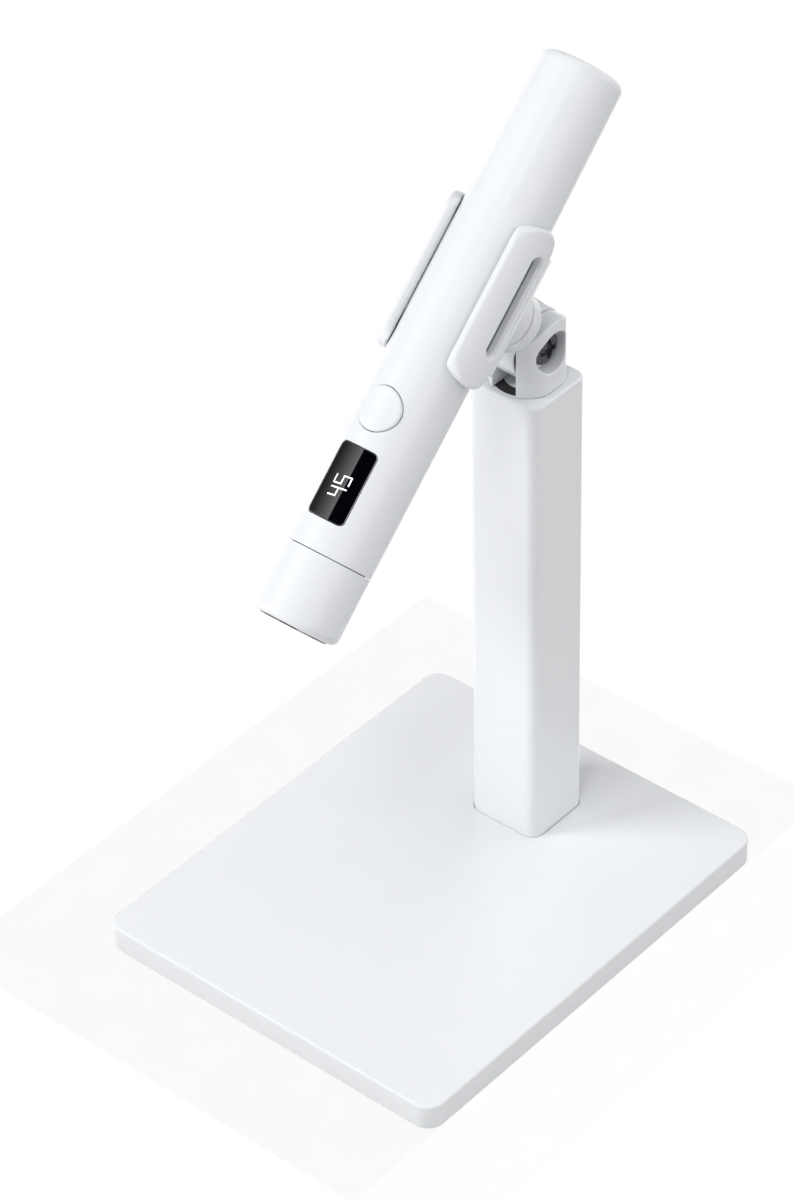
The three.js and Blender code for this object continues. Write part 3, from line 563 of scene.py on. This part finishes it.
fork_axes = box_axes((-FORK["flat"], -FORK["radius"], -12.9), (FORK["flat"], FORK["radius"], 10.9), 0.33)
build("swivel_fork_look", net(fork_distance, fork_axes), PIVOT_FRAME, "fork", "white_plastic")
screw_axes = [span(-9.2, 9.2, 0.18), span(-5.7, 5.7, 0.18), span(-5.7, 5.7, 0.18)]
build("pivot_screw_look", net(pivot_screw_distance, screw_axes), PIVOT_FRAME, "fork", "dark_steel")
nut_axes = [span(-9.0, -5.7, 0.16), span(-4.8, 4.8, 0.16), span(-4.8, 4.8, 0.16)]
build("pivot_nut_look", net(pivot_nut_distance, nut_axes), PIVOT_FRAME, "fork", "plain_steel")
knuckle_axes = box_axes((-HUB["radius"], -TONGUE["radius"], -TONGUE["radius"]),
                        (HUB["radius"], HUB["radius"] + HUB["offset"], HUB["high"]), 0.34)
build("tilt_knuckle_look", net(knuckle_distance, knuckle_axes), KNUCKLE, "knuckle", "white_plastic")
swivel_axes = [span(-3.9, 3.9, 0.2), span(-1.9, 5.9, 0.2), span(6, 27.1, 0.2)]
build("swivel_screw_look", net(swivel_screw_distance, swivel_axes), KNUCKLE, "knuckle", "dark_steel")


# ------------------------------------------------------------------ spring clip
def ellipse(u, v, a, b):
    """Nearly the distance to an ellipse with half axes a and b."""
    k0 = np.hypot(u / a, v / b)
    k1 = np.maximum(np.hypot(u / a**2, v / b**2), 1e-9)
    return k0 * (k0 - 1) / k1


def clip_distance(p):
    """A collar open at the top, cut to its side outline, with a boss below and a slot through both arms
    that widens outwards."""
    x, y, z = p[:, 0], p[:, 1], p[:, 2]
    around = np.hypot(x, z)
    waist, shoulder = CLIP_WAIST["height"], CLIP_WAIST["shoulder"]
    lip_height = CLIP["outer"] * math.cos(CLIP["mouth"])
    length = np.abs(y)
    upper = ellipse(np.maximum(length - CLIP["lip"], 0), z - waist,
                    CLIP["half"] - CLIP["lip"], lip_height - waist)
    lower = ellipse(np.maximum(length - CLIP["spine"], 0), z - waist,
                    CLIP["half"] - CLIP["spine"], shoulder)
    lower = np.where(length < CLIP["spine"], np.minimum(length - CLIP["spine"], -1), lower)
    outline = np.where(z > waist, upper, lower)
    body = around - CLIP["outer"]
    boss = meet(np.hypot(x, y) - BOSS["radius"], BOSS["low"] - z, 0.4)
    boss = meet(boss, z + CLIP["inner"])
    body = unite(body, boss, 0.8)
    body = meet(body, outline, 1.1)
    body = meet(body, CLIP["inner"] - around, 0.8)
    wedge = np.abs(x) * math.cos(CLIP["mouth"]) - z * math.sin(CLIP["mouth"])
    body = cut(body, wedge, 1.3)
    slot = prism_distance(y - CLIP_SLOT["offset"], z - CLIP_SLOT["height"], CLIP_SLOT["half"],
                          CLIP_SLOT["radius"], CLIP_SLOT["radius"])
    flare = CLIP_SLOT["flare"] * np.maximum(around - CLIP["outer"] + CLIP_SLOT["flare_depth"], 0)
    body = cut(body, slot - flare, 0.45)
    screw = meet(np.hypot(x, y) - CLIP_SCREW["recess"], CLIP_SCREW["floor"] - z)
    return cut(cut(body, screw, 0.2), np.hypot(x, y) - CLIP_SCREW["bore"])


clip_axes = box_axes((-CLIP["outer"], -CLIP["half"], -23.7), (CLIP["outer"], CLIP["half"], 12.2), 0.42)
build("clip_collar_look", net(clip_distance, clip_axes), CLIP_FRAME, "clip", "white_plastic")


# ------------------------------------------------------------------ torch
def about_axis(grid):
    """(radius, angle from the button side, place along the axis) to the torch's own frame."""
    r, angle, s = grid.T
    return np.stack((r * np.sin(angle), s, r * np.cos(angle)), 1)


def window_distance(x, s, grow=0.0):
    """Distance to the window's outline, grown by a gap."""
    middle = WINDOW["start"] + WINDOW["length"] / 2
    return prism_distance(x, s - middle, WINDOW["width"] / 2 + grow, WINDOW["length"] / 2 + grow,
                          WINDOW["corner"] + grow)


def barrel_distance(p):
    """The tapered tube with its neck for the head ring and its pockets for the window and the button."""
    x, s, z = p[:, 0], p[:, 1], p[:, 2]
    around = np.hypot(x, z)
    tail = TORCH_END["tail"]
    taper = (TORCH["radius"] - TORCH["tail_radius"]) / (tail - TORCH_END["fillet"] - TORCH_END["taper"])
    outside = around - TORCH["radius"] + taper * np.maximum(s - TORCH_END["taper"], 0)
    body = meet(outside, s - tail, TORCH_END["fillet"])
    body = meet(body, -s, 0.18)
    neck = meet(around - NECK["radius"], NECK["low"] - s, 0.3)
    body = unite(body, meet(neck, s - 1))
    inside = np.where(s > NECK["end"], TORCH["inside"], NECK["bore"])
    inside = np.where(s > tail - TAIL_BORE["depth"], TAIL_BORE["radius"], inside)
    body = cut(body, around - inside, 0.2)
    window = meet(window_distance(x, s, WINDOW["gap"]), POCKET_FLOOR - z)
    button = np.hypot(x, s - BUTTON["centre"]) - BUTTON["radius"] - BUTTON["gap"]
    return cut(cut(body, window, 0.16), meet(button, POCKET_FLOOR - z), 0.14)


def window_pane_distance(p):
    """A pane that follows the barrel's round."""
    x, s, z = p[:, 0], p[:, 1], p[:, 2]
    around = np.hypot(x, z)
    pane = meet(around - WINDOW["radius"], window_distance(x, s), 0.18)
    pane = meet(pane, WINDOW["radius"] - WINDOW["thickness"] - around, 0.05)
    return meet(pane, WINDOW["low"] - z)


def button_distance(p):
    """A round button whose top follows the barrel's round, a little proud of it."""
    x, s, z = p[:, 0], p[:, 1], p[:, 2]
    stem = np.hypot(x, s - BUTTON["centre"]) - BUTTON["radius"]
    return meet(meet(stem, np.hypot(x, z) - BUTTON["top"], 0.5), BUTTON["low"] - z, 0.2)


def stroke_distance(u, v, points):
    """Distance from (u, v) to a line through points."""
    best = np.full(u.shape, 1e9)
    for (u0, v0), (u1, v1) in zip(points, points[1:]):
        du, dv = u1 - u0, v1 - v0
        t = np.clip(((u - u0) * du + (v - v0) * dv) / (du * du + dv * dv), 0, 1)
        best = np.minimum(best, np.hypot(u - u0 - t * du, v - v0 - t * dv))
    return best


# each digit's strokes, in widths along the barrel and half heights across it, and where each begins
FOUR = [[(0, 1), (0, 0), (1, 0)], [(1, 1), (1, -1)]]
FIVE = [[(1, 1), (0, 1), (0, 0), (1, 0), (1, -1), (0, -1)]]
SHOWN = ((16.45, FOUR), (20.2, FIVE))


def digits_distance(p):
    """The digits read along the barrel, with their tops towards -X."""
    x, s, z = p[:, 0], p[:, 1], p[:, 2]
    up = -(x - DIGIT["centre"])
    best = np.full(x.shape, 1e9)
    for start, strokes in SHOWN:
        for stroke in strokes:
            points = [(start + DIGIT["width"] * a - DIGIT["lean"] * DIGIT["half_height"] * b,
                       DIGIT["half_height"] * b) for a, b in stroke]
            best = np.minimum(best, stroke_distance(s, up, points))
    around = np.hypot(x, z)
    flat = meet(best - DIGIT["stroke"], around - WINDOW["radius"] - DIGIT["proud"], 0.02)
    return meet(meet(flat, WINDOW["radius"] - DIGIT["depth"] - around), WINDOW["low"] - z)


def turned(corners, caps=(False, False)):
    """A profile (radius, place along the torch, rounding) turned about the torch's axis."""
    return sweep(circle(112), rounded(corners), "y", caps)


def angles():
    """Samples round the barrel, close together near the window and the button."""
    near = np.radians(36)
    fine = np.linspace(-near, near, 62)
    coarse = np.linspace(near, 2 * math.pi - near, 76)
    ring = np.concatenate((fine, coarse[1:]))
    return np.concatenate(([ring[-2] - 2 * math.pi], ring))


def places():
    """Samples along the barrel, close together at its ends, the window and the button."""
    parts = [span(-6.6, 1.6, 0.35), span(2.2, 8.0, 1.2), span(8.5, 33, 0.33), span(34, 36, 1),
             span(36.4, 52, 0.33), span(55, 109, 6), span(112, 152, 4), span(152.6, 154.4, 0.6),
             span(154.7, 158.9, 0.35)]
    return np.concatenate(parts)


barrel_axes = [np.concatenate((span(9.3, 10.6, 0.43), span(11.1, 12.2, 0.37), span(12.6, 13.9, 0.26))),
               angles(), places()]
barrel = net(barrel_distance, barrel_axes, about_axis, wraps=True)
build("torch_barrel_look", barrel, TORCH_FRAME, "torch", "white_plastic")

pane_axes = [span(-7.1, 7.1, 0.27), span(8.8, 32.5, 0.27), span(9.8, 14, 0.27)]
build("display_window_look", net(window_pane_distance, pane_axes), TORCH_FRAME, "torch", "black_gloss")
button_axes = [span(-7.4, 7.4, 0.25), span(36.7, 51.5, 0.25), span(10.3, 14.5, 0.25)]
build("button_cap_look", net(button_distance, button_axes), TORCH_FRAME, "button", "white_plastic")

lit = surface("lit_digits", ((0.8, 0.82, 0.86), (0.88, 0.9, 0.93)), (0.15, 0.25),
              Emission_Color=(0.93, 0.95, 1.0, 1.0), Emission_Strength=0.75)
digit_axes = [span(-2.9, 3.7, 0.1), span(15.3, 23.7, 0.1), span(12.9, 13.62, 0.05)]
piece("display_digits", net(digits_distance, digit_axes), TORCH_FRAME, "torch", lit)

head_ring = turned([
    (HEAD["inside"], -0.5, 0),
    (HEAD["inside"], HEAD["lip_back"], 0.2),
    (HEAD["lip"], HEAD["lip_back"], 0.2),
    (HEAD["lip"], TORCH_END["front"], 0.35),
    (TORCH["radius"], TORCH_END["front"], 2.6),
    (TORCH["radius"], HEAD["back"], 0.12),
    (HEAD["inside"], HEAD["back"], 0.05),
    (HEAD["inside"], -0.4, 0),
])
build("head_ring_look", head_ring, TORCH_FRAME, "torch", "white_plastic")

lens_bezel = turned([
    (BEZEL["inside"] + 0.6, BEZEL["back"] - 0.02, 0),
    (BEZEL["inside"], BEZEL["back"] - 0.02, 0.05),
    (BEZEL["inside"], BEZEL["front"], 0.2),
    (BEZEL["outside"], BEZEL["front"], 0.25),
    (BEZEL["outside"], BEZEL["back"], 0.1),
    (BEZEL["inside"] + 0.62, BEZEL["back"], 0),
])
build("lens_bezel_look", lens_bezel, TORCH_FRAME, "torch", "black_gloss")

front_lens = turned([
    (0.5, LENS["front"], 0),
    (LENS["radius"], LENS["front"], 0.15),
    (LENS["radius"], LENS["back"], 0.15),
    (0.5, LENS["back"], 0),
], (True, True))
build("front_lens_look", front_lens, TORCH_FRAME, "torch", "clear_lens")


def reflector():
    """A parabolic bowl that opens towards the lens, with a flange round its rim."""
    throat, mouth, front, back = BOWL["throat"], BOWL["mouth"], BOWL["front"], BOWL["back"]
    inner = []
    for step in range(13):
        t = step / 12
        inner.append((throat + (mouth - throat) * math.sqrt(t), back + (front - back) * t, 0.05))
    outer = [(r + BOWL["wall"], s, 0.05) for r, s, _ in inner]
    behind = front + BOWL["flange_thickness"]
    rim = [(BOWL["flange"], front, 0.1), (BOWL["flange"], behind, 0.1), (mouth + BOWL["wall"], behind, 0.1)]
    loop = inner + rim + outer[-3::-1]
    return turned([(*loop[0][:2], 0)] + loop[1:] + [(throat + 0.05, back, 0)])


build("reflector_look", reflector(), TORCH_FRAME, "torch", "mirror_bowl")


def tail_plug_distance(p):
    """A round plug with an oval mouth for the charging socket."""
    x, s, z = p[:, 0], p[:, 1], p[:, 2]
    slab = np.abs(s - TAIL_PLUG["middle"]) - TAIL_PLUG["half"]
    plug = meet(np.hypot(x, z) - TAIL_PLUG["radius"], slab, 0.4)
    half_width = TAIL_MOUTH["width"] / 2 + TAIL_MOUTH["gap"]
    half_height = TAIL_MOUTH["height"] / 2 + TAIL_MOUTH["gap"]
    mouth = prism_distance(x, z, half_width, half_height, TAIL_MOUTH["corner"])
    return cut(plug, meet(mouth, TAIL_MOUTH["floor"] - s), 0.25)


def charge_socket_distance(p):
    """A thin oval metal shell with its contact tongue."""
    x, s, z = p[:, 0], p[:, 1], p[:, 2]
    wide, high, wall = SOCKET["half_width"], SOCKET["half_height"], SOCKET["wall"]
    shell = meet(prism_distance(x, z, wide, high, high), np.abs(s - SOCKET["middle"]) - SOCKET["half"], 0.08)
    mouth = meet(prism_distance(x, z, wide - wall, high - wall, high - wall), SOCKET["floor"] - s)
    across = meet(np.abs(x) - SOCKET_TONGUE["half_width"], np.abs(z) - SOCKET_TONGUE["half_height"], 0.1)
    tongue = meet(across, np.abs(s - SOCKET_TONGUE["middle"]) - SOCKET_TONGUE["half"], 0.1)
    return np.minimum(cut(shell, mouth, 0.06), tongue)


reach, middle, half = TAIL_PLUG["radius"], TAIL_PLUG["middle"], TAIL_PLUG["half"]
plug_axes = box_axes((-reach, middle - half, -reach), (reach, middle + half, reach), 0.3)
build("tail_plug_look", net(tail_plug_distance, plug_axes), TORCH_FRAME, "torch", "white_plastic")
socket_axes = box_axes((-4.5, 151.3, -1.6), (4.5, 158, 1.6), 0.13)
build("charge_socket_look", net(charge_socket_distance, socket_axes), TORCH_FRAME, "torch", "plain_steel")


# ------------------------------------------------------------------ floor, light and camera, in metres
FLOOR_REACH = 12
NEAR_TABLE = {"x": 0.1, "y": 0.115, "height": 0.0001}
STUDIO = {"softbox_edge": -0.27, "side": 0.72, "behind": 0.3}
LIGHTS = (
    ("front_key", (-0.2, -2.2, 1.5), 0.8, 19.5),
    ("left_key", (-1.3, -1.5, 1.4), 0.8, 32.5),
    ("high_key", (0.55, -1.3, 2.1), 0.5, 14),
)
LIGHTS_AIM = (0, 0, 0.12)
CAMERA = {"place": (0.70235, -0.81890, 0.98371), "turn": 41.12, "lift": 38.67, "roll": -1.26,
          "lens": 139.8924, "sensor": 36}


def ground(name, low, high, height, material):
    """A flat rectangle on the table that isn't part of the object and shows in no reflection."""
    mesh = bpy.data.meshes.new(name)
    mesh.from_pydata([(low[0], low[1], height), (high[0], low[1], height),
                      (high[0], high[1], height), (low[0], high[1], height)], [], [(0, 1, 2, 3)])
    mesh.materials.append(material)
    obj = bpy.data.objects.new(name, mesh)
    bpy.context.scene.collection.objects.link(obj)
    obj.visible_glossy = False
    return obj


def floor():
    """A wide pale floor that lights nothing and casts no shadow."""
    pale = surface("pale_floor", ((0.19, 0.19, 0.19), (0.21, 0.21, 0.21)), (0.85, 0.95),
                   Emission_Color=(1.0, 1.0, 1.0, 1.0), Emission_Strength=0.88)
    wide = ground("floor", (-FLOOR_REACH, -FLOOR_REACH), (FLOOR_REACH, FLOOR_REACH), 0, pale)
    wide.visible_diffuse = False
    wide.visible_shadow = False


def near_table():
    """The table round the base. It isn't seen, but it shades the base's sides and bounces light to them,
    the most on the right."""
    reach, deep, side = NEAR_TABLE["x"], NEAR_TABLE["y"], BASE["width"] / 2 * MM
    parts = (("near_table", -reach, side, 0.39), ("near_table_right", side, reach, 0.6))
    for name, left, right, shade in parts:
        grey = surface(name, ((shade - 0.01,) * 3, (shade + 0.01,) * 3), (0.8, 0.9))
        part = ground(name, (left, -deep), (right, deep), NEAR_TABLE["height"], grey)
        part.visible_camera = False


def world():
    """A white studio in soft-edged panels, each lit where the direction's X, Y and Z lie in its range. The
    one at the front left is the softbox that shows in the display window."""
    made = bpy.data.worlds.new("studio")
    made.use_nodes = True
    nodes, links = made.node_tree.nodes, made.node_tree.links
    where = nodes.new("ShaderNodeTexCoord")
    split = nodes.new("ShaderNodeSeparateXYZ")
    links.new(where.outputs["Generated"], split.inputs["Vector"])

    def ramp(axis, low, high, to_low, to_high):
        node = nodes.new("ShaderNodeMapRange")
        node.inputs["From Min"].default_value = low
        node.inputs["From Max"].default_value = high
        node.inputs["To Min"].default_value = to_low
        node.inputs["To Max"].default_value = to_high
        links.new(split.outputs[axis], node.inputs["Value"])
        return node.outputs["Result"]

    def above(axis, edge, strength=1.0, soft=0.03):
        return ramp(axis, edge - soft, edge + soft, 0, strength)

    def below(axis, edge, strength=1.0, soft=0.03):
        return ramp(axis, edge - soft, edge + soft, strength, 0)

    def combine(kind, *values):
        total = values[0]
        for value in values[1:]:
            node = nodes.new("ShaderNodeMath")
            node.operation = kind
            links.new(total, node.inputs[0])
            links.new(value, node.inputs[1])
            total = node.outputs["Value"]
        return total

    def panel(*ranges):
        return combine("MULTIPLY", *ranges)

    def high():
        return above("Z", 0)

    def low():
        return below("Z", 0)

    edge, side, behind = STUDIO["softbox_edge"], STUDIO["side"], STUDIO["behind"]
    panels = [
        panel(below("X", edge, 1.0, 0.012), ramp("X", -0.97, edge, 0.06, 0.52), below("Y", behind), high()),
        panel(below("X", edge, 0.417), above("Y", behind), high()),
        panel(above("X", edge, 1.486), above("Y", behind), high()),
        panel(above("X", side, 1.446), below("Y", behind), high()),
        panel(below("X", 0, 1.1), low()),
        panel(above("X", 0, 0.463), above("Y", 0), low()),
        panel(above("X", 0, 0.625), below("Y", 0), low()),
    ]
    links.new(combine("ADD", *panels), nodes["Background"].inputs["Strength"])
    nodes["Background"].inputs["Color"].default_value = (1.0, 1.0, 1.0, 1.0)
    bpy.context.scene.world = made


def area_light(name, place, size, watts):
    """A square softbox that shows in no reflection."""
    data = bpy.data.lights.new(name, "AREA")
    data.shape = "RECTANGLE"
    data.size = size
    data.size_y = size
    data.energy = watts
    obj = bpy.data.objects.new(name, data)
    bpy.context.scene.collection.objects.link(obj)
    direction = Vector(place) - Vector(LIGHTS_AIM)
    obj.matrix_world = Matrix.Translation(place) @ direction.to_track_quat("Z", "Y").to_matrix().to_4x4()
    obj.visible_glossy = False


def camera():
    """The view from the front right, from above."""
    turn, lift, roll = (math.radians(CAMERA[angle]) for angle in ("turn", "lift", "roll"))
    level = math.cos(lift)
    ahead = np.array((-math.sin(turn) * level, math.cos(turn) * level, -math.sin(lift)))
    right = np.array((math.cos(turn), math.sin(turn), 0))
    up = np.cross(right, ahead)
    turned_right = right * math.cos(roll) + up * math.sin(roll)
    turned_up = up * math.cos(roll) - right * math.sin(roll)
    data = bpy.data.cameras.new("camera")
    data.sensor_fit = "VERTICAL"
    data.sensor_height = CAMERA["sensor"]
    data.lens = CAMERA["lens"]
    data.clip_end = 100
    obj = bpy.data.objects.new("camera", data)
    bpy.context.scene.collection.objects.link(obj)
    matrix = Matrix.Identity(4)
    for row in range(3):
        matrix[row][0] = turned_right[row]
        matrix[row][1] = turned_up[row]
        matrix[row][2] = -ahead[row]
    matrix.translation = CAMERA["place"]
    obj.matrix_world = matrix
    bpy.context.scene.camera = obj


floor()
near_table()
world()
for light in LIGHTS:
    area_light(*light)
camera()
bpy.context.scene.view_settings.view_transform = "Standard"
